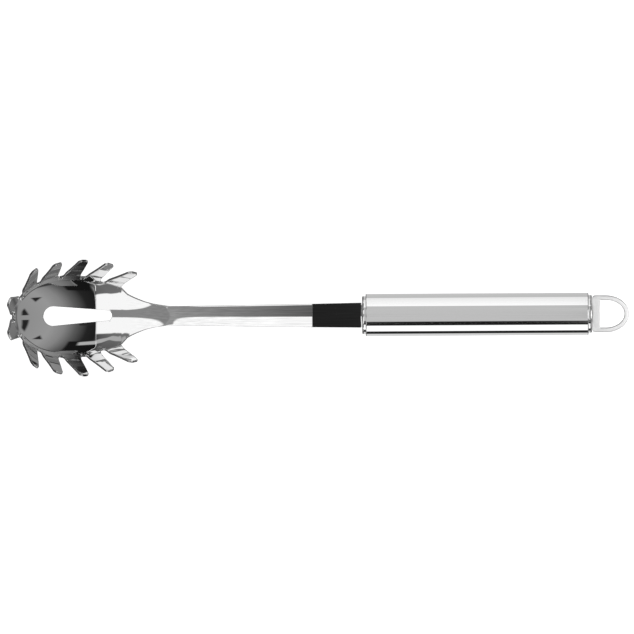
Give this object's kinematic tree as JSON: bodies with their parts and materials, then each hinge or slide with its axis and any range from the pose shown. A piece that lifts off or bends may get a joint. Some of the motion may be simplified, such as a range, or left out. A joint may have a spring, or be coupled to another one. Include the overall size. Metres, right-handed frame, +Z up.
{
  "type": "pasta server",
  "caption": "Stainless steel pasta server: a pronged bowl with a drain slot on a flat shank, a round hollow handle and a flat hanging eye.",
  "frame": {"origin": "centre of the plan, on the surface that the bowl's underside and the handle tube rest on", "axes": "+X along the tool, from the head to the hanging eye; +Y to the left of someone looking along +X; +Z up, out of the open bowl"},
  "size_m": [0.3301, 0.0624, 0.0259],
  "materials": {
    "head_steel": "polished",
    "handle_steel": "fine lengthwise brushing",
    "cap_steel": "polished",
    "eye_steel": "satin",
    "weld_steel": "as welded"
  },
  "bodies": {
    "root": {"head_and_shank": "head_steel", "front_cap": "cap_steel", "shank_weld": "weld_steel", "handle_tube": "handle_steel", "rear_cap": "cap_steel", "eye_weld": "weld_steel", "hanging_eye": "eye_steel"}
  },
  "joints": []
}
